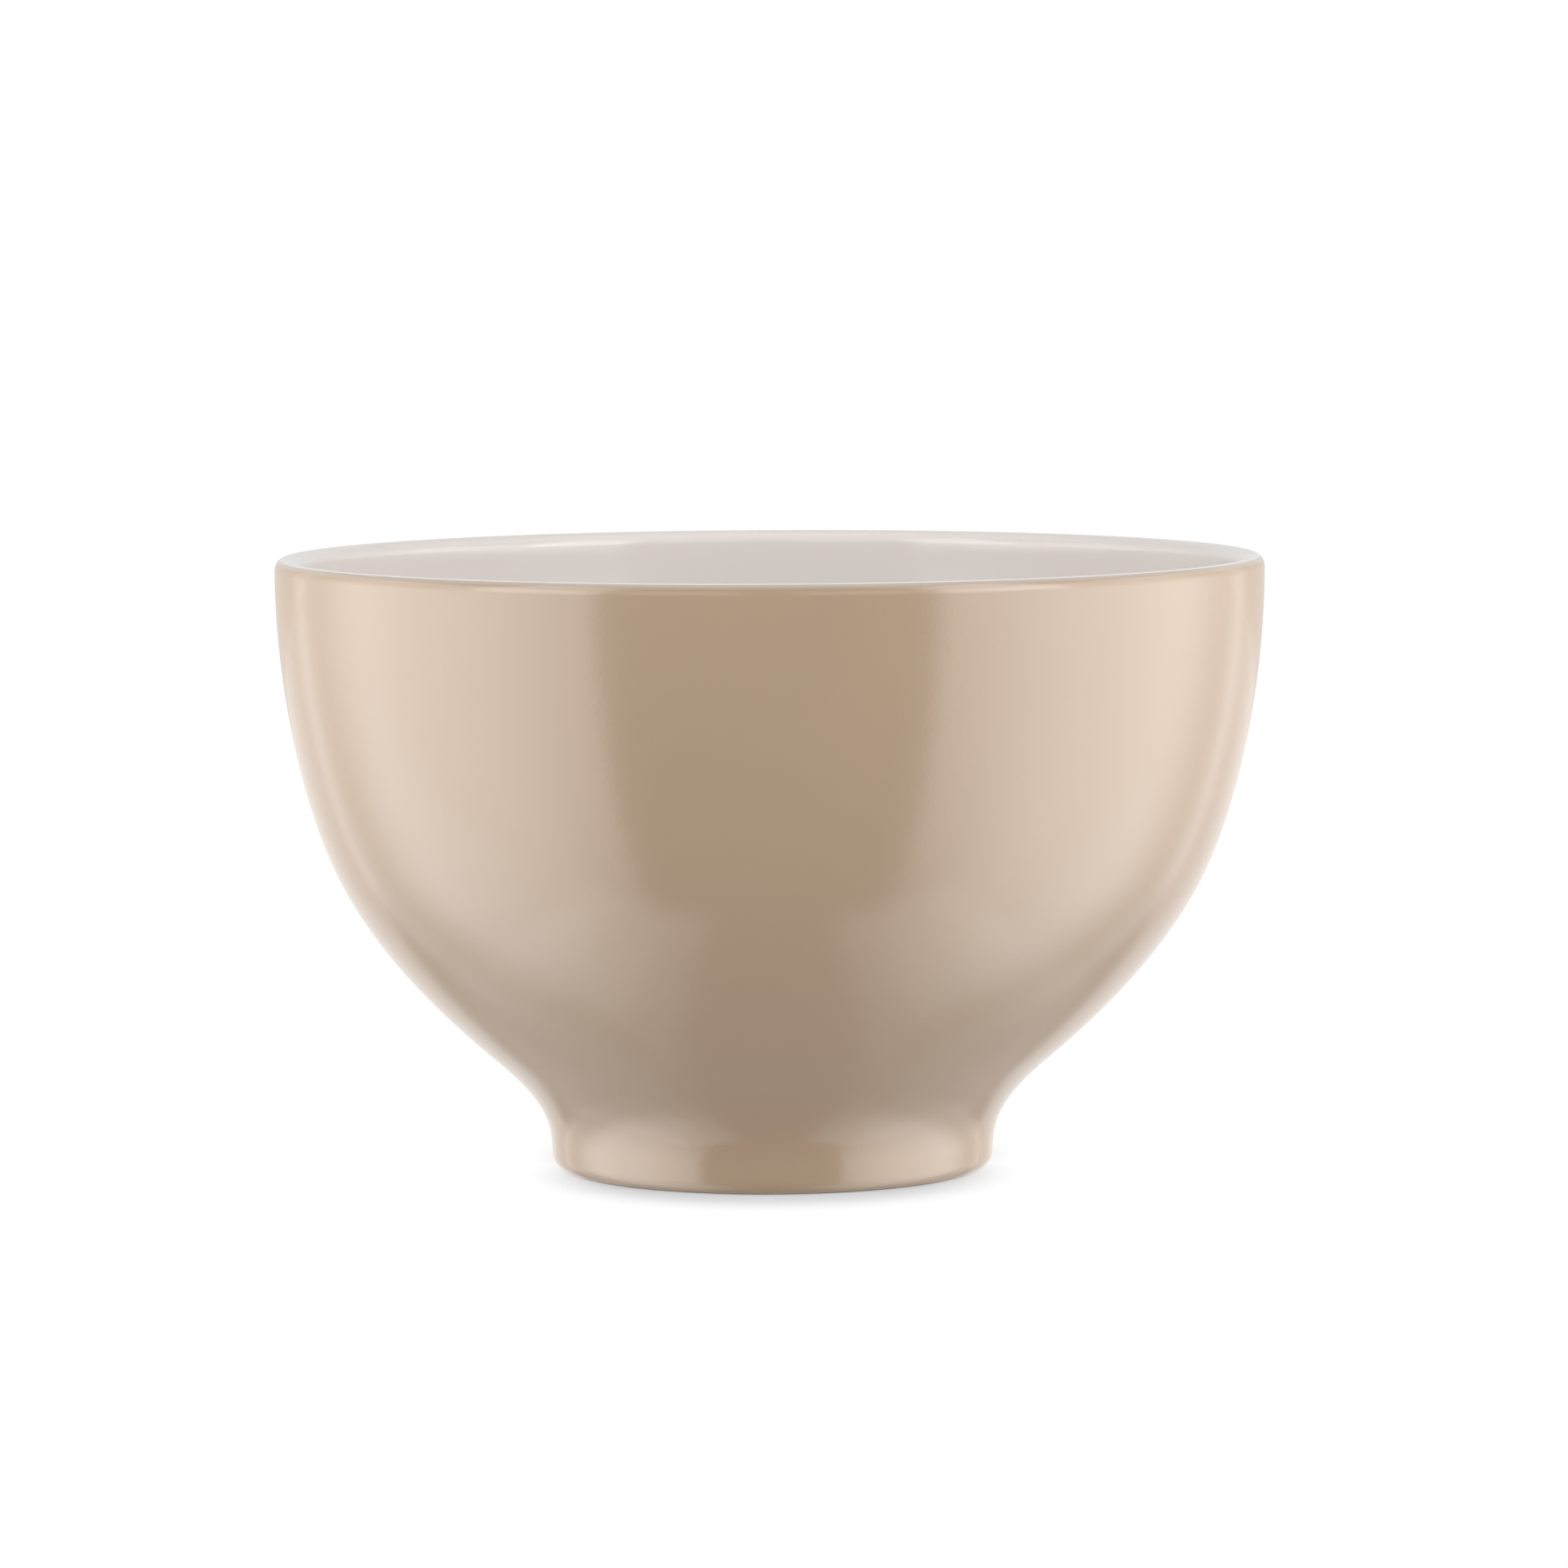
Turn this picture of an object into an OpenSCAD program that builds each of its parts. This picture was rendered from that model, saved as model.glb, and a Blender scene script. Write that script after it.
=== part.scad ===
// Latte bowl: a footed stoneware bowl with no handle.
// One clay shell carries three coats of glaze: white inside and over the lip, beige outside, and
// beige again in the hollow of the foot. Only the ring that stands on the table is bare clay.
//
// Every piece is a half section, drawn in radius and height and turned about the upright axis. The
// section is made of rails. A rail is a list of [point, normal] along a finished surface, and all
// rails together run one way round: from the middle of the floor up the inside, over the lip, down
// the outside, round the foot and up into the hollow. A coat is the strip between a rail and the
// same rail set in by the glaze. The clay is what the set-in rails enclose, so coats and clay meet
// face to face at any size.

/* [Bowl] */
// Width across the rim, over the glaze
rim_d = 140; // [134:1:160]
// Height of the lip's crest above the table
bowl_h = 87; // [80:1:100]

/* [Wall] */
// Width at the belly, where the upright wall turns under
belly_d = 121; // [112:1:128]
// Height of the belly
belly_h = 40; // [34:1:46]
// Lean of the wall at the belly, in degrees from upright
belly_lean = 28.5; // [20:0.5:36]
// Width at the haunch, where the curve swings back towards the foot
haunch_d = 79.5; // [74:0.5:86]
// Height of the haunch
haunch_h = 16; // [13:0.5:20]
// Lean of the wall at the haunch, in degrees from upright
haunch_lean = 49.5; // [42:0.5:58]
// Wall thickness at the belly, both coats included
wall_t = 4; // [3:0.1:5]
// Wall thickness at the haunch, both coats included
haunch_t = 5; // [4:0.1:7]
// Floor thickness at the middle, both coats included
floor_t = 6.5; // [5:0.1:8]

/* [Lip] */
// Width of the lip's rounding outside its crest
lip_out_w = 1.2; // [0.9:0.05:1.8]
// Width of the lip's rounding inside its crest
lip_in_w = 2.1; // [1.5:0.05:2.6]
// Height of the lip's rounding
lip_round_h = 1.8; // [1.4:0.05:2]
// How far the white glaze comes down outside the crest
lip_lap_h = 0.15; // [0.1:0.05:0.8]

/* [Foot] */
// Width of the foot ring at its neck, over the glaze
foot_d = 63.1; // [58:0.1:68]
// Height of the neck, where the foot's straight side begins
neck_h = 4.2; // [3.6:0.1:6]
// Lean of the foot's side, in degrees from upright
foot_lean = 4.5; // [0:0.5:12]
// Radius of the clay at the foot's outer edge
foot_edge_r = 2.2; // [1.2:0.1:2.6]
// Width of the bare flat that stands on the table
stand_w = 2.2; // [1:0.1:5]
// Radius of the clay at the hollow's edge
hollow_edge_r = 1; // [0.6:0.1:1.4]
// Depth of the hollow under the foot, over the glaze
hollow_h = 3.5; // [3.2:0.1:4.5]
// Lean of the hollow's side, in degrees from upright
hollow_lean = 10; // [2:1:20]
// Radius of the corner at the top of the hollow
hollow_corner_r = 1.5; // [1:0.1:1.6]

/* [Glaze] */
// Thickness of a coat of glaze
glaze_t = 0.35; // [0.2:0.05:0.4]
// Height above the table at which the glaze is wiped off
glaze_clearance = 0.15; // [0.05:0.05:0.3]

/* [Hidden] */
$fn = 180;
// Straight steps in a long curve, and in the rounding of a lip or an edge
curve_steps = 12;
round_steps = 5;

// Pull of each curve at its first and at its last point, as shares of the straight line between them
side_pull_shares = [0.34, 0.27];
under_pull_shares = [0.3, 0.39];
foot_pull_shares = [0.34, 0.33];
floor_pull_shares = [0.5, 0.34];

clay_color = [0.83, 0.77, 0.68];
white_color = [0.93, 0.92, 0.9];
beige_color = [0.72, 0.63, 0.53];

// Headings along the section, in degrees from straight outwards
outwards = 0;
upwards = 90;
inwards = 180;
downwards = 270;

function direction(heading) = [cos(heading), sin(heading)];
function normal(heading) = [-sin(heading), cos(heading)];
function unit(v) = v / norm(v);
function left_of(v) = [-v.y, v.x];

// Turns a path of points and their travel directions into a rail
function frame(point, travel) = [point, left_of(unit(travel))];

// A smooth curve from one point and heading to the next
function curve(p, p_heading, q, q_heading, pull_shares) =
    let (
        span = norm(q - p),
        a = p + pull_shares[0] * span * direction(p_heading),
        b = q - pull_shares[1] * span * direction(q_heading)
    )
    [for (i = [0 : curve_steps])
        let (t = i / curve_steps, s = 1 - t)
        frame(
            s * s * s * p + 3 * s * s * t * a + 3 * s * t * t * b + t * t * t * q,
            s * s * (a - p) + 2 * s * t * (b - a) + t * t * (q - b)
        )
    ];

// A round or oval corner about a centre: side is 1 on an outer corner and -1 on an inner one
function corner(centre, half_w, half_h, from, to, side = 1) =
    [for (i = [0 : round_steps])
        let (a = from + (to - from) * i / round_steps)
        [
            centre + [half_w * cos(a), half_h * sin(a)],
            side * unit([cos(a) / half_w, sin(a) / half_h])
        ]
    ];

// Rails joined end to end, where each begins at the last frame of the one before
function joined(rails) = [
    for (i = [0 : len(rails) - 1])
        for (j = [(i == 0 ? 0 : 1) : len(rails[i]) - 1])
            rails[i][j]
];
function points(rail) = [for (f = rail) f[0]];
function set_in(rail, depth) = [for (f = rail) f[0] - depth * f[1]];
function reversed(list) = [for (i = [len(list) - 1 : -1 : 0]) list[i]];
function without_first(list) = [for (i = [1 : len(list) - 1]) list[i]];

// Outside of the wall
rim_r = rim_d / 2;
belly = [belly_d / 2, belly_h];
haunch = [haunch_d / 2, haunch_h];
neck = [foot_d / 2, neck_h];
belly_down = downwards - belly_lean;
haunch_down = downwards - haunch_lean;
neck_down = downwards - foot_lean;

// Inside of the wall, square in from the outside and followed upwards
belly_up = belly_down - inwards;
haunch_up = haunch_down - inwards;
belly_inside = belly - wall_t * normal(belly_down);
haunch_inside = haunch - haunch_t * normal(haunch_down);
floor_middle = [0, hollow_h + floor_t];

// Lip, with the seam between the white glaze and the beige on its outer rounding
lip_centre = [rim_r - lip_out_w, bowl_h - lip_round_h];
seam_angle = asin(1 - lip_lap_h / lip_round_h);

// Foot's outer edge, below its straight side
foot_coat_r = foot_edge_r + glaze_t;
foot_side_l = (neck_h + foot_coat_r * sin(foot_lean) - foot_edge_r) / cos(foot_lean);
foot_side_end = neck + foot_side_l * direction(neck_down);
foot_edge_centre = foot_side_end - foot_coat_r * normal(neck_down);

// Hollow's edge, its straight side and the corner at its top
hollow_coat_r = hollow_edge_r + glaze_t;
hollow_edge_centre = [foot_edge_centre.x - stand_w, hollow_edge_r];
hollow_up = upwards + hollow_lean;
hollow_side_start = hollow_edge_centre + hollow_coat_r * normal(hollow_up);
hollow_corner_lift = hollow_h - hollow_corner_r * (1 - sin(hollow_lean));
hollow_side_l = (hollow_corner_lift - hollow_side_start.y) / cos(hollow_lean);
hollow_side_end = hollow_side_start + hollow_side_l * direction(hollow_up);
hollow_corner_centre = hollow_side_end + hollow_corner_r * normal(hollow_up);

// How far round an edge the glaze goes before it is wiped off above the table
function wiped_angle(edge_r) = asin((edge_r - glaze_clearance) / (edge_r + glaze_t));
foot_wiped = -wiped_angle(foot_edge_r);
hollow_wiped = -inwards + wiped_angle(hollow_edge_r);
foot_bottom = -upwards;

inner_rail = joined([
    curve(floor_middle, outwards, haunch_inside, haunch_up, floor_pull_shares),
    curve(haunch_inside, haunch_up, belly_inside, belly_up, reversed(under_pull_shares)),
    curve(belly_inside, belly_up, lip_centre - [lip_in_w, 0], upwards, reversed(side_pull_shares)),
    corner(lip_centre, lip_in_w, lip_round_h, inwards, upwards),
    corner(lip_centre, lip_out_w, lip_round_h, upwards, seam_angle)
]);

outer_rail = joined([
    corner(lip_centre, lip_out_w, lip_round_h, seam_angle, 0),
    curve([rim_r, lip_centre.y], downwards, belly, belly_down, side_pull_shares),
    curve(belly, belly_down, haunch, haunch_down, under_pull_shares),
    curve(haunch, haunch_down, neck, neck_down, foot_pull_shares),
    corner(foot_edge_centre, foot_coat_r, foot_coat_r, -foot_lean, foot_wiped)
]);

hollow_rail = concat(
    corner(hollow_edge_centre, hollow_coat_r, hollow_coat_r, hollow_wiped, hollow_lean - inwards),
    corner(hollow_corner_centre, hollow_corner_r, hollow_corner_r, hollow_lean, upwards, side = -1),
    [[[0, hollow_h], normal(inwards)]]
);

// Bare clay between the beige coats: the foot's edge, the flat it stands on and the hollow's edge
bare_rail = concat(
    corner(foot_edge_centre, foot_edge_r, foot_edge_r, foot_wiped, foot_bottom),
    corner(hollow_edge_centre, hollow_edge_r, hollow_edge_r, foot_bottom, hollow_wiped)
);

module turned(outline) {
    rotate_extrude() polygon(outline);
}

module coat(rail) {
    turned(concat(points(rail), reversed(set_in(rail, glaze_t))));
}

// The clay shell with its foot ring
module stoneware_body() {
    color(clay_color)
        turned(concat(
            set_in(inner_rail, glaze_t),
            without_first(set_in(outer_rail, glaze_t)),
            without_first(points(bare_rail)),
            without_first(set_in(hollow_rail, glaze_t))
        ));
}

// White glaze on the inside, over the lip's crest and down to the seam
module inner_glaze() {
    color(white_color) coat(inner_rail);
}

// Beige glaze from the seam at the lip to the foot's lower edge
module outer_glaze() {
    color(beige_color) coat(outer_rail);
}

// Beige glaze in the hollow inside the foot ring
module foot_hollow_glaze() {
    color(beige_color) coat(hollow_rail);
}

stoneware_body();
inner_glaze();
outer_glaze();
foot_hollow_glaze();
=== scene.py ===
"""How the latte bowl looks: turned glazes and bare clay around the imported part, camera and light.

The bowl is turned, so each of its four pieces is a half section that Geometry Nodes sweep about
the upright axis. The sections repeat the sizes and the curves of the part's source, in metres,
with shorter steps, so that the mirrored edges of the lamps run smoothly over the glaze.
"""

import math

import bmesh
import bpy
from mathutils import Matrix, Vector


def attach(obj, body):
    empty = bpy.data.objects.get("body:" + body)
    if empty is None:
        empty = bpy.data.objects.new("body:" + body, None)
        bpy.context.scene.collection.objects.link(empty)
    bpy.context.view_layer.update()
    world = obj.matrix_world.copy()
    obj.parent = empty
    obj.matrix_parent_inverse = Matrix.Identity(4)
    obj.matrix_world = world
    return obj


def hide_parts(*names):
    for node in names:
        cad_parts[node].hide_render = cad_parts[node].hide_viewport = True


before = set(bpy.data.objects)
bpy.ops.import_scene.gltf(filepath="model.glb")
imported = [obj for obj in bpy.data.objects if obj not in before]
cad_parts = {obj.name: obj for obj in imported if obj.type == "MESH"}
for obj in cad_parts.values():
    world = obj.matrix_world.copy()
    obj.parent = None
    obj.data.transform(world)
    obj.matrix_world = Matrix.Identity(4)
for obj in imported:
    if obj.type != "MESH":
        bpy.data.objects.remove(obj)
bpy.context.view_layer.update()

MM = 0.001
BODY = "root"

# Sizes of the bowl, as in the part's source
RIM_D = 140 * MM
BOWL_H = 87 * MM
BELLY_D = 121 * MM
BELLY_H = 40 * MM
BELLY_LEAN = 28.5
HAUNCH_D = 79.5 * MM
HAUNCH_H = 16 * MM
HAUNCH_LEAN = 49.5
WALL_T = 4 * MM
HAUNCH_T = 5 * MM
FLOOR_T = 6.5 * MM
LIP_OUT_W = 1.2 * MM
LIP_IN_W = 2.1 * MM
LIP_ROUND_H = 1.8 * MM
LIP_LAP_H = 0.15 * MM
FOOT_D = 63.1 * MM
NECK_H = 4.2 * MM
FOOT_LEAN = 4.5
FOOT_EDGE_R = 2.2 * MM
STAND_W = 2.2 * MM
HOLLOW_EDGE_R = 1 * MM
HOLLOW_H = 3.5 * MM
HOLLOW_LEAN = 10
HOLLOW_CORNER_R = 1.5 * MM
GLAZE_T = 0.35 * MM
GLAZE_CLEARANCE = 0.15 * MM

# Pull of each curve at its first and last point, as shares of the straight line between them
SIDE_PULLS = (0.34, 0.27)
UNDER_PULLS = (0.3, 0.39)
FOOT_PULLS = (0.34, 0.33)
FLOOR_PULLS = (0.5, 0.34)

# Headings along the section, in degrees from straight outwards
OUTWARDS, UPWARDS, INWARDS, DOWNWARDS = 0, 90, 180, 270

# Steps in a rail's long curves and in its corners, and steps round a turned piece
CURVE_STEPS = 26
ROUND_STEPS = 10
STEPS_ROUND = 288

# Points nearer than this become one, and a fold of more degrees than this stays a sharp edge
WELD_DISTANCE = 0.001 * MM
SHARP_ANGLE = 40


# The section: points are (radius, height), and a rail is a list of (point, normal)

def direction(heading):
    return Vector((math.cos(math.radians(heading)), math.sin(math.radians(heading))))


def left_of(v):
    return Vector((-v.y, v.x))


def curve(start, start_heading, end, end_heading, pulls):
    """A smooth stretch of rail from one point and heading to the next."""
    span = (end - start).length
    a = start + pulls[0] * span * direction(start_heading)
    b = end - pulls[1] * span * direction(end_heading)
    rail = []
    for i in range(CURVE_STEPS + 1):
        t = i / CURVE_STEPS
        s = 1 - t
        point = s**3 * start + 3 * s * s * t * a + 3 * s * t * t * b + t**3 * end
        travel = s * s * (a - start) + 2 * s * t * (b - a) + t * t * (end - b)
        rail.append((point, left_of(travel.normalized())))
    return rail


def corner(centre, half_w, half_h, start, end, side=1):
    """A round or oval corner about a centre, with side 1 if it is an outer one and -1 if inner."""
    rail = []
    for i in range(ROUND_STEPS + 1):
        at = direction(start + (end - start) * i / ROUND_STEPS)
        normal = Vector((at.x / half_w, at.y / half_h)).normalized()
        rail.append((centre + Vector((half_w * at.x, half_h * at.y)), side * normal))
    return rail


def joined(*rails):
    """Rails end to end, where each begins at the last point of the one before."""
    return list(rails[0]) + [step for rail in rails[1:] for step in rail[1:]]


def surface(rail):
    return [point for point, normal in rail]


def set_in(rail):
    """The same way along the clay, under the glaze."""
    return [point - GLAZE_T * normal for point, normal in rail]


def coat(rail):
    """The closed outline of the glaze on a rail."""
    return surface(rail) + set_in(rail)[::-1]


belly = Vector((BELLY_D / 2, BELLY_H))
haunch = Vector((HAUNCH_D / 2, HAUNCH_H))
neck = Vector((FOOT_D / 2, NECK_H))
belly_down = DOWNWARDS - BELLY_LEAN
haunch_down = DOWNWARDS - HAUNCH_LEAN
neck_down = DOWNWARDS - FOOT_LEAN
belly_up = belly_down - INWARDS
haunch_up = haunch_down - INWARDS
belly_inside = belly - WALL_T * left_of(direction(belly_down))
haunch_inside = haunch - HAUNCH_T * left_of(direction(haunch_down))
floor_middle = Vector((0, HOLLOW_H + FLOOR_T))

lip_centre = Vector((RIM_D / 2 - LIP_OUT_W, BOWL_H - LIP_ROUND_H))
seam_angle = math.degrees(math.asin(1 - LIP_LAP_H / LIP_ROUND_H))

foot_coat_r = FOOT_EDGE_R + GLAZE_T
foot_lean = math.radians(FOOT_LEAN)
foot_side_l = (NECK_H + foot_coat_r * math.sin(foot_lean) - FOOT_EDGE_R) / math.cos(foot_lean)
foot_side_end = neck + foot_side_l * direction(neck_down)
foot_edge_centre = foot_side_end - foot_coat_r * left_of(direction(neck_down))

hollow_coat_r = HOLLOW_EDGE_R + GLAZE_T
hollow_edge_centre = Vector((foot_edge_centre.x - STAND_W, HOLLOW_EDGE_R))
hollow_up = UPWARDS + HOLLOW_LEAN
hollow_lean = math.radians(HOLLOW_LEAN)
hollow_side_start = hollow_edge_centre + hollow_coat_r * left_of(direction(hollow_up))
hollow_corner_lift = HOLLOW_H - HOLLOW_CORNER_R * (1 - math.sin(hollow_lean))
hollow_side_l = (hollow_corner_lift - hollow_side_start.y) / math.cos(hollow_lean)
hollow_side_end = hollow_side_start + hollow_side_l * direction(hollow_up)
hollow_corner_centre = hollow_side_end + HOLLOW_CORNER_R * left_of(direction(hollow_up))


def wiped_angle(edge_r):
    """How far round an edge the glaze goes before it is wiped off above the table."""
    return math.degrees(math.asin((edge_r - GLAZE_CLEARANCE) / (edge_r + GLAZE_T)))


foot_wiped = -wiped_angle(FOOT_EDGE_R)
hollow_wiped = -INWARDS + wiped_angle(HOLLOW_EDGE_R)

inner_rail = joined(
    curve(floor_middle, OUTWARDS, haunch_inside, haunch_up, FLOOR_PULLS),
    curve(haunch_inside, haunch_up, belly_inside, belly_up, UNDER_PULLS[::-1]),
    curve(belly_inside, belly_up, lip_centre - Vector((LIP_IN_W, 0)), UPWARDS, SIDE_PULLS[::-1]),
    corner(lip_centre, LIP_IN_W, LIP_ROUND_H, INWARDS, UPWARDS),
    corner(lip_centre, LIP_OUT_W, LIP_ROUND_H, UPWARDS, seam_angle),
)
outer_rail = joined(
    corner(lip_centre, LIP_OUT_W, LIP_ROUND_H, seam_angle, OUTWARDS),
    curve(Vector((RIM_D / 2, lip_centre.y)), DOWNWARDS, belly, belly_down, SIDE_PULLS),
    curve(belly, belly_down, haunch, haunch_down, UNDER_PULLS),
    curve(haunch, haunch_down, neck, neck_down, FOOT_PULLS),
    corner(foot_edge_centre, foot_coat_r, foot_coat_r, -FOOT_LEAN, foot_wiped),
)
hollow_rail = (
    corner(hollow_edge_centre, hollow_coat_r, hollow_coat_r, hollow_wiped, HOLLOW_LEAN - INWARDS)
    + corner(hollow_corner_centre, HOLLOW_CORNER_R, HOLLOW_CORNER_R, HOLLOW_LEAN, UPWARDS, side=-1)
    + [(Vector((0, HOLLOW_H)), left_of(direction(INWARDS)))]
)
bare_rail = (
    corner(foot_edge_centre, FOOT_EDGE_R, FOOT_EDGE_R, foot_wiped, -UPWARDS)
    + corner(hollow_edge_centre, HOLLOW_EDGE_R, HOLLOW_EDGE_R, -UPWARDS, hollow_wiped)
)
clay_outline = (
    set_in(inner_rail) + set_in(outer_rail)[1:] + surface(bare_rail)[1:] + set_in(hollow_rail)[1:]
)


# Node trees, of materials, lamps and Geometry Nodes alike

# Places of the sockets that share one name: colours of a Mix node, and whole and other numbers of
# a Compare node
MIX_FIRST, MIX_SECOND, MIX_RESULT = 6, 7, 2
WHOLE_FIRST, WHOLE_SECOND = 2, 3
NUMBER_FIRST, NUMBER_SECOND = 0, 1


class Wire:
    """An output of a node. Arithmetic on it adds Math nodes."""

    def __init__(self, sheet, socket):
        self.sheet = sheet
        self.socket = socket

    def math(self, operation, *values):
        inputs = dict(enumerate(values))
        return self.sheet.node("ShaderNodeMath", {"operation": operation}, inputs)

    def __add__(self, other):
        return self.math("ADD", self, other)

    def __radd__(self, other):
        return self.math("ADD", other, self)

    def __sub__(self, other):
        return self.math("SUBTRACT", self, other)

    def __rsub__(self, other):
        return self.math("SUBTRACT", other, self)

    def __mul__(self, other):
        return self.math("MULTIPLY", self, other)

    def __rmul__(self, other):
        return self.math("MULTIPLY", other, self)


class Sheet:
    """A node tree. Its other methods, and the Wires on it, add their nodes through node()."""

    def __init__(self, tree):
        self.tree = tree

    def node(self, kind, settings=None, inputs=None, out=0):
        """Adds a node and returns the Wire of its output called out."""
        new = self.tree.nodes.new(kind)
        for name, value in (settings or {}).items():
            setattr(new, name, value)
        for name, value in (inputs or {}).items():
            if isinstance(value, Wire):
                self.tree.links.new(value.socket, new.inputs[name])
            else:
                new.inputs[name].default_value = value
        return Wire(self, new.outputs[out])

    def along(self, axis, place):
        """How far a place lies along an axis."""
        return self.node("ShaderNodeSeparateXYZ", inputs={"Vector": place}, out=axis)

    def ramp(self, value, low, high, to_low=0.0, to_high=1.0):
        """A smooth rise of a value between two of its levels."""
        return self.node(
            "ShaderNodeMapRange",
            {"interpolation_type": "SMOOTHSTEP"},
            {
                "Value": value,
                "From Min": low,
                "From Max": high,
                "To Min": to_low,
                "To Max": to_high,
            },
        )

    def blend(self, share, first, second):
        """A colour between two, by a share."""
        return self.node(
            "ShaderNodeMix",
            {"data_type": "RGBA"},
            {"Factor": share, MIX_FIRST: first, MIX_SECOND: second},
            out=MIX_RESULT,
        )

    def mixed(self, share, first, second):
        """A surface between two, by a share."""
        return self.node("ShaderNodeMixShader", inputs={0: share, 1: first, 2: second})


# The turning of a section

def turning_tree():
    """Geometry Nodes that sweep a closed section about the upright axis."""
    tree = bpy.data.node_groups.new("turned_piece", "GeometryNodeTree")
    sockets = (
        ("Section", "INPUT", "NodeSocketGeometry"),
        ("Steps round", "INPUT", "NodeSocketInt"),
        ("Wheel radius", "INPUT", "NodeSocketFloat"),
        ("Weld distance", "INPUT", "NodeSocketFloat"),
        ("Sharp angle", "INPUT", "NodeSocketFloat"),
        ("Finish", "INPUT", "NodeSocketMaterial"),
        ("Piece", "OUTPUT", "NodeSocketGeometry"),
    )
    for name, way, kind in sockets:
        tree.interface.new_socket(name=name, in_out=way, socket_type=kind)
    sheet = Sheet(tree)
    given = tree.nodes.new("NodeGroupInput")
    value = {socket.name: Wire(sheet, socket) for socket in given.outputs}

    # The sweep lays a section's first axis outwards and its second one downwards
    place = sheet.node("GeometryNodeInputPosition")
    laid = sheet.node(
        "ShaderNodeCombineXYZ",
        inputs={
            "X": sheet.along("X", place) - value["Wheel radius"],
            "Y": 0 - sheet.along("Z", place),
        },
    )
    section = sheet.node(
        "GeometryNodeSetPosition", inputs={"Geometry": value["Section"], "Position": laid}
    )
    wheel = sheet.node(
        "GeometryNodeCurvePrimitiveCircle",
        {"mode": "RADIUS"},
        {"Resolution": value["Steps round"], "Radius": value["Wheel radius"]},
    )
    wheel = sheet.node("GeometryNodeSetCurveNormal", {"mode": "Z_UP"}, {"Curve": wheel})
    swept = sheet.node(
        "GeometryNodeCurveToMesh", inputs={"Curve": wheel, "Profile Curve": section}
    )

    # Rings of points on the axis become one point, and the edges left on the axis go
    welded = sheet.node(
        "GeometryNodeMergeByDistance",
        inputs={"Geometry": swept, "Distance": value["Weld distance"]},
    )
    faces_beside = sheet.node("GeometryNodeInputMeshEdgeNeighbors")
    alone = sheet.node(
        "FunctionNodeCompare",
        {"data_type": "INT", "operation": "EQUAL"},
        {WHOLE_FIRST: faces_beside, WHOLE_SECOND: 0},
    )
    closed = sheet.node(
        "GeometryNodeDeleteGeometry", {"domain": "EDGE"}, {"Geometry": welded, "Selection": alone}
    )

    # Smooth faces, with sharp edges where a coat of glaze ends
    smooth = sheet.node("GeometryNodeSetShadeSmooth", {"domain": "FACE"}, {"Geometry": closed})
    fold = sheet.node("GeometryNodeInputMeshEdgeAngle")
    sharp = sheet.node(
        "FunctionNodeCompare",
        {"data_type": "FLOAT", "operation": "GREATER_THAN"},
        {NUMBER_FIRST: fold, NUMBER_SECOND: value["Sharp angle"]},
    )
    shaded = sheet.node(
        "GeometryNodeSetShadeSmooth",
        {"domain": "EDGE"},
        {"Geometry": smooth, "Selection": sharp, "Shade Smooth": False},
    )
    plain = sheet.node("GeometryNodeRealizeInstances", inputs={"Geometry": shaded})
    finished = sheet.node(
        "GeometryNodeSetMaterial", inputs={"Geometry": plain, "Material": value["Finish"]}
    )
    result = tree.nodes.new("NodeGroupOutput")
    tree.links.new(finished.socket, result.inputs["Piece"])
    return tree


def turned(name, outline, tree, finish):
    """A plain mesh piece, turned from a closed outline."""
    line = bpy.data.curves.new(name + "_section", "CURVE")
    line.dimensions = "3D"
    spline = line.splines.new("POLY")
    spline.points.add(len(outline) - 1)
    for point, place in zip(spline.points, outline):
        point.co = (max(place.x, 0), 0, place.y, 1)
    spline.use_cyclic_u = True
    drawn = bpy.data.objects.new(name + "_section", line)
    bpy.context.scene.collection.objects.link(drawn)

    turning = drawn.modifiers.new("turning", "NODES")
    turning.node_group = tree
    values = {
        "Steps round": STEPS_ROUND,
        "Wheel radius": RIM_D / 2,
        "Weld distance": WELD_DISTANCE,
        "Sharp angle": math.radians(SHARP_ANGLE),
        "Finish": finish,
    }
    for socket in tree.interface.items_tree:
        if socket.name in values:
            turning[socket.identifier] = values[socket.name]

    evaluated = drawn.evaluated_get(bpy.context.evaluated_depsgraph_get())
    mesh = bpy.data.meshes.new_from_object(evaluated)
    bpy.data.objects.remove(drawn)
    mesh.name = name
    shell = bmesh.new()
    shell.from_mesh(mesh)
    bmesh.ops.recalc_face_normals(shell, faces=shell.faces)
    shell.to_mesh(mesh)
    shell.free()
    piece = bpy.data.objects.new(name, mesh)
    bpy.context.scene.collection.objects.link(piece)
    return piece


# Finishes. Sizes are those of the patterns' patches, and depths those of their bumps.

# Satin beige glaze, paler towards the seam, partly from thinner glaze and partly as a painted
# highlight for light from above
BEIGE = (0.315, 0.222, 0.145, 1)
BEIGE_CLOUD_SIZE = 22 * MM
BEIGE_CLOUD_DARK, BEIGE_CLOUD_LIGHT = 0.97, 1.03
BEIGE_GRAIN_SIZE = 0.5 * MM
BEIGE_GRAIN_DEPTH = 0.012 * MM
BEIGE_ROUGHNESS, BEIGE_ROUGHNESS_SPREAD = 0.185, 0.04
BEIGE_MIRROR_LEVEL = 0.85
BEIGE_THIN_AND_HIGHLIGHT = (0.45, 0.45, 0.43, 1)
BEIGE_THIN_AND_HIGHLIGHT_SHARE = 0.5
BEIGE_PALE_FROM = BOWL_H - 0.9 * MM
BEIGE_SEAM_H = BOWL_H - LIP_LAP_H

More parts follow.
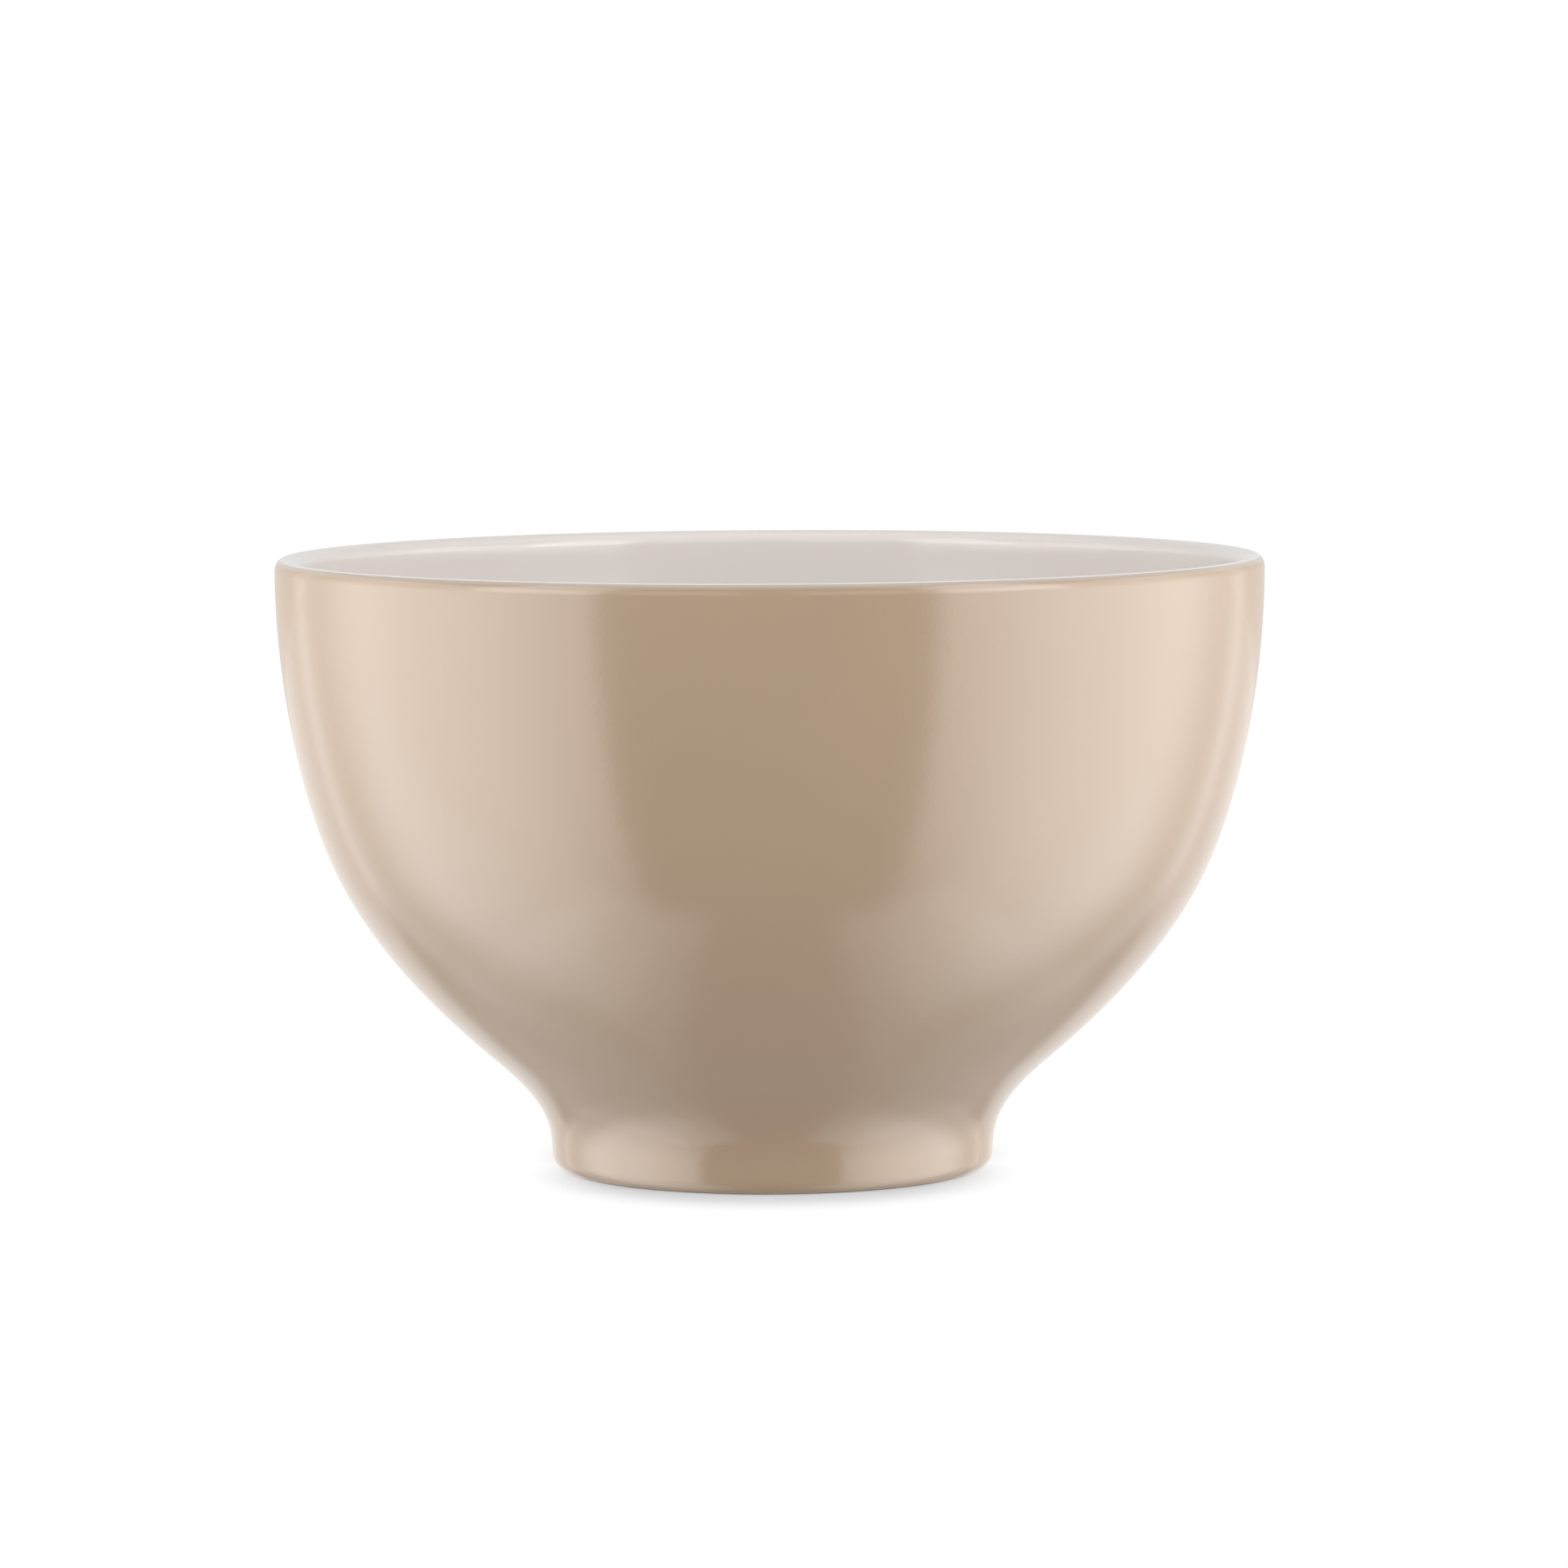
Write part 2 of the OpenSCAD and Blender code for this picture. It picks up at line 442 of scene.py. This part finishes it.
# Glossy white glaze
WHITE = (0.615, 0.572, 0.546, 1)
WHITE_CLOUD_SIZE = 18 * MM
WHITE_CLOUD_DARK = 0.985
WHITE_RIPPLE_SIZE = 1.2 * MM
WHITE_RIPPLE_DEPTH = 0.002 * MM
WHITE_ROUGHNESS, WHITE_ROUGHNESS_SPREAD = 0.12, 0.03
WHITE_MIRROR_LEVEL = 0.6

# Bare fired clay
CLAY = (0.62, 0.52, 0.41, 1)
CLAY_DARK = (0.50, 0.41, 0.31, 1)
CLAY_GRAIN_SIZE = 0.35 * MM
CLAY_GRAIN_DEPTH = 0.03 * MM
CLAY_ROUGHNESS, CLAY_ROUGHNESS_SPREAD = 0.75, 0.15

NOISE_MIDDLE = 0.5


def finish_sheet(name):
    """A new material, its node sheet, its shader and Object coordinates."""
    material = bpy.data.materials.new(name)
    material.use_nodes = True
    sheet = Sheet(material.node_tree)
    shader = material.node_tree.nodes["Principled BSDF"]
    place = sheet.node("ShaderNodeTexCoord", out="Object")
    return material, sheet, shader, place


def give(sheet, shader, **values):
    """Sets or links the shader's own sockets, written with _ for a space."""
    for name, value in values.items():
        socket = shader.inputs[name.replace("_", " ")]
        if isinstance(value, Wire):
            sheet.tree.links.new(value.socket, socket)
        else:
            socket.default_value = value


def noise(sheet, place, size, detail, roughness):
    """Noise between 0 and 1 whose patches are about size across."""
    return sheet.node(
        "ShaderNodeTexNoise",
        inputs={"Vector": place, "Scale": 1 / size, "Detail": detail, "Roughness": roughness},
    )


def bump(sheet, height, depth):
    """A normal from a pattern of heights, where 1 stands this much above 0."""
    return sheet.node(
        "ShaderNodeBump", inputs={"Strength": 1.0, "Distance": depth, "Height": height}
    )


def shade(colour, share):
    """A colour made darker or lighter."""
    return tuple(share * level for level in colour[:3]) + (1,)


def varied(middle, spread, pattern):
    """A number that follows a pattern of noise up and down."""
    return middle + (pattern - NOISE_MIDDLE) * spread


def beige_glaze():
    material, sheet, shader, place = finish_sheet("beige_satin_glaze")
    clouds = noise(sheet, place, BEIGE_CLOUD_SIZE, detail=3, roughness=0.55)
    grain = noise(sheet, place, BEIGE_GRAIN_SIZE, detail=2, roughness=0.6)
    # Paler towards the seam: partly thinner glaze, partly a painted highlight standing in for light
    # from above
    thin_and_highlight = sheet.ramp(sheet.along("Z", place), BEIGE_PALE_FROM, BEIGE_SEAM_H)
    base = sheet.blend(clouds, shade(BEIGE, BEIGE_CLOUD_DARK), shade(BEIGE, BEIGE_CLOUD_LIGHT))
    give(
        sheet, shader,
        Base_Color=sheet.blend(thin_and_highlight * BEIGE_THIN_AND_HIGHLIGHT_SHARE, base, BEIGE_THIN_AND_HIGHLIGHT),
        Roughness=varied(BEIGE_ROUGHNESS, BEIGE_ROUGHNESS_SPREAD, clouds),
        Specular_IOR_Level=BEIGE_MIRROR_LEVEL,
        Normal=bump(sheet, grain, BEIGE_GRAIN_DEPTH),
    )
    return material


def white_glaze():
    material, sheet, shader, place = finish_sheet("white_gloss_glaze")
    clouds = noise(sheet, place, WHITE_CLOUD_SIZE, detail=3, roughness=0.55)
    ripple = noise(sheet, place, WHITE_RIPPLE_SIZE, detail=2, roughness=0.5)
    give(
        sheet, shader,
        Base_Color=sheet.blend(clouds, shade(WHITE, WHITE_CLOUD_DARK), WHITE),
        Roughness=varied(WHITE_ROUGHNESS, WHITE_ROUGHNESS_SPREAD, clouds),
        Specular_IOR_Level=WHITE_MIRROR_LEVEL,
        Normal=bump(sheet, ripple, WHITE_RIPPLE_DEPTH),
    )
    return material


def bare_clay():
    material, sheet, shader, place = finish_sheet("bare_fired_clay")
    grain = noise(sheet, place, CLAY_GRAIN_SIZE, detail=4, roughness=0.65)
    give(
        sheet, shader,
        Base_Color=sheet.blend(grain, CLAY_DARK, CLAY),
        Roughness=varied(CLAY_ROUGHNESS, CLAY_ROUGHNESS_SPREAD, grain),
        Normal=bump(sheet, grain, CLAY_GRAIN_DEPTH),
    )
    return material


# The pieces

tree = turning_tree()
beige = beige_glaze()
pieces = (
    ("bare_clay_body", clay_outline, bare_clay(), "stoneware_body", "fired_clay"),
    ("white_glaze_inside", coat(inner_rail), white_glaze(), "inner_glaze", "white_glaze"),
    ("beige_glaze_outside", coat(outer_rail), beige, "outer_glaze", "beige_glaze"),
    ("beige_glaze_under_foot", coat(hollow_rail), beige, "foot_hollow_glaze", "beige_glaze"),
)
for name, outline, finish, node, slot in pieces:
    piece = turned(name, outline, tree, finish)
    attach(piece, BODY)
    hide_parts(node)


# Camera, from the same fit to the photograph's outline as the bowl's proportions. Its angles are
# in radians: to the side, down from level, and about its own axis.

CAMERA_PLACE = (0, -0.98958, 0.14112)
CAMERA_TURN = 0.0019
CAMERA_DIP = 0.0874
CAMERA_ROLL = 0.0050
SENSOR_W = 36
LENS = 160.5
NEAREST, FARTHEST = 0.05, 20

camera_data = bpy.data.cameras.new("camera")
camera_data.sensor_width = SENSOR_W
camera_data.lens = LENS
camera_data.clip_start, camera_data.clip_end = NEAREST, FARTHEST
camera = bpy.data.objects.new("camera", camera_data)
camera.matrix_world = (
    Matrix.Translation(CAMERA_PLACE)
    @ Matrix.Rotation(-CAMERA_TURN, 4, "Z")
    @ Matrix.Rotation(math.pi / 2 - CAMERA_DIP, 4, "X")
    @ Matrix.Rotation(-CAMERA_ROLL, 4, "Z")
)
bpy.context.scene.collection.objects.link(camera)
bpy.context.scene.camera = camera


# Light. The bowl's lower wall mirrors the photograph's studio from below the table's height, so
# the side panels reach below the floor, and two lamps lie under it. The floor is hidden from
# mirrored rays and casts no shadow, so it doesn't stand in their way.

# Panels at both sides, and a higher one above the front of each
PANEL_X = 0.53
PANEL_BACK = 1.1 * PANEL_X
PANEL_LOW, PANEL_HIGH = -2.4 * PANEL_X, 0.8 * PANEL_X
HIGH_PANEL_BACK = -0.4 * PANEL_X
HIGH_PANEL_LOW, HIGH_PANEL_HIGH = 0.3 * PANEL_X, 1.6 * PANEL_X

# How a lamp's face dims: (axis, bright up to, dim from, share left there)
PANEL_FALLS = (
    ("Y", 0.1 * PANEL_X, 0.7 * PANEL_X, 0.27),
    ("Y", -0.3 * PANEL_X, -1.1 * PANEL_X, 0.66),
    ("Z", -0.2 * PANEL_X, -2.0 * PANEL_X, 0.2),
    ("Z", 0.1 * PANEL_X, 0.5 * PANEL_X, 0.6),
)
UNDER_FALLS = (("Y", -0.2, 0.5, 0.4),)

# Where the other lamps hang
FRONT_Y = -1.35
BACK_Y = 1.6
TOP_Z = 1.0
UNDER_Z = -1.35

# What the white studio around the lamps gives back to the bowl
STUDIO_FILL = 0.59


def lamp(name, place, facing, width, height, radiance, falls=()):
    """A flat soft lamp that faces a direction, whose face has the given radiance."""
    data = bpy.data.lights.new(name, "AREA")
    data.shape = "RECTANGLE"
    data.size, data.size_y = width, height
    data.energy = radiance * math.pi * width * height
    lit = bpy.data.objects.new(name, data)
    turn = Vector(facing).to_track_quat("-Z", "Y").to_matrix().to_4x4()
    lit.matrix_world = Matrix.Translation(place) @ turn
    lit.visible_camera = False
    bpy.context.scene.collection.objects.link(lit)
    if falls:
        data.use_nodes = True
        sheet = Sheet(data.node_tree)
        spot = sheet.node("ShaderNodeNewGeometry", out="Position")
        strength = 1.0
        for axis, bright, dim, left in falls:
            strength = sheet.ramp(sheet.along(axis, spot), bright, dim, 1.0, left) * strength
        glow = data.node_tree.nodes["Emission"].inputs["Strength"]
        data.node_tree.links.new(strength.socket, glow)


# The two sides differ in the radiance of their panels and in how far these reach to the front
for side, name, radiance, high_radiance, front_share in (
    (-1, "left", 3.07, 2.13, -1.25),
    (1, "right", 3.14, 2.6, -1.3),
):
    panel_x = side * PANEL_X
    panel_front = front_share * PANEL_X
    lamp(
        name + "_panel",
        place=(panel_x, (panel_front + PANEL_BACK) / 2, (PANEL_LOW + PANEL_HIGH) / 2),
        facing=(-side, 0, 0),
        width=PANEL_BACK - panel_front,
        height=PANEL_HIGH - PANEL_LOW,
        radiance=radiance,
        falls=PANEL_FALLS,
    )
    lamp(
        name + "_high_panel",
        place=(
            panel_x,
            (panel_front + HIGH_PANEL_BACK) / 2,
            (HIGH_PANEL_LOW + HIGH_PANEL_HIGH) / 2,
        ),
        facing=(-side, 0, 0),
        width=HIGH_PANEL_BACK - panel_front,
        height=HIGH_PANEL_HIGH - HIGH_PANEL_LOW,
        radiance=high_radiance,
    )
    lamp(
        name + "_under_panel",
        place=(side * 0.81, 0.45, UNDER_Z),
        facing=(0, 0, 1),
        width=0.9,
        height=2.7,
        radiance=0.62,
        falls=UNDER_FALLS,
    )
    lamp(
        name + "_front_panel",
        place=(side * 0.525, FRONT_Y, 0.6),
        facing=(0, 1, 0),
        width=0.75,
        height=0.6,
        radiance=0.8,
    )
lamp(
    "back_panel",
    place=(0, BACK_Y, -0.5),
    facing=(0, -1, 0),
    width=3.2,
    height=0.8,
    radiance=0.5,
)
lamp(
    "back_high_panel",
    place=(0, BACK_Y, 0.4),
    facing=(0, -1, 0),
    width=3.2,
    height=1.0,
    radiance=0.2,
)
lamp(
    "top_panel",
    place=(0, -0.15, TOP_Z),
    facing=(0, 0, -1),
    width=2.0,
    height=1.1,
    radiance=0.24,
)


# Floor and backdrop

# The foot's shade is two round patches on the floor, one before the foot's middle and one behind
# it. Each is full up to one distance from its centre and gone from the next.
SHADE_SHIFT = 10 * MM
SHADE_NARROW = 1.08
SHADE_FULL, SHADE_GONE = 24 * MM, 38 * MM
SHADE_PAINT = (0.74, 0.785, 0.84, 1)
FLOOR_PAINT = (0.4, 0.4, 0.4, 1)
FLOOR_HALF = 0.5


def pale_floor():
    """White with the foot's shade to the camera, grey to the bowl, and clear from below."""
    material, sheet, shader, place = finish_sheet("white_floor")
    sheet.tree.nodes.remove(shader)
    seen = sheet.node("ShaderNodeLightPath", out="Is Camera Ray")
    quarter = sheet.node("ShaderNodeVectorMath", {"operation": "ABSOLUTE"}, {0: place})
    from_centre = sheet.node(
        "ShaderNodeVectorMath",
        {"operation": "MULTIPLY_ADD"},
        {0: quarter, 1: (SHADE_NARROW, 1, 1), 2: (0, -SHADE_SHIFT, 0)},
    )
    away = sheet.node(
        "ShaderNodeVectorMath", {"operation": "LENGTH"}, {0: from_centre}, out="Value"
    )
    grey = sheet.node("ShaderNodeBsdfDiffuse", inputs={"Color": FLOOR_PAINT})
    shaded = sheet.node("ShaderNodeBsdfDiffuse", inputs={"Color": SHADE_PAINT})
    white = sheet.node("ShaderNodeEmission", inputs={"Strength": 1.0})
    shown = sheet.mixed(sheet.ramp(away, SHADE_FULL, SHADE_GONE), shaded, white)
    above = sheet.mixed(seen, grey, shown)
    clear = sheet.node("ShaderNodeBsdfTransparent")
    below = sheet.node("ShaderNodeNewGeometry", out="Backfacing")
    surface_end = sheet.tree.nodes["Material Output"].inputs["Surface"]
    sheet.tree.links.new(sheet.mixed(below, above, clear).socket, surface_end)
    return material


floor_mesh = bpy.data.meshes.new("floor")
floor_mesh.from_pydata(
    [(x * FLOOR_HALF, y * FLOOR_HALF, 0) for x, y in ((-1, -1), (1, -1), (1, 1), (-1, 1))],
    [],
    [(0, 1, 2, 3)],
)
floor_mesh.materials.append(pale_floor())
floor = bpy.data.objects.new("floor", floor_mesh)
bpy.context.scene.collection.objects.link(floor)
floor.visible_glossy = False
floor.visible_shadow = False

world = bpy.data.worlds.new("studio")
world.use_nodes = True
bpy.context.scene.world = world
studio = Sheet(world.node_tree)
seen = studio.node("ShaderNodeLightPath", out="Is Camera Ray")
backdrop = studio.tree.nodes["Background"]
backdrop.inputs["Color"].default_value = (1, 1, 1, 1)
strength = STUDIO_FILL + seen * (1 - STUDIO_FILL)
studio.tree.links.new(strength.socket, backdrop.inputs["Strength"])

bpy.context.scene.view_settings.view_transform = "Standard"
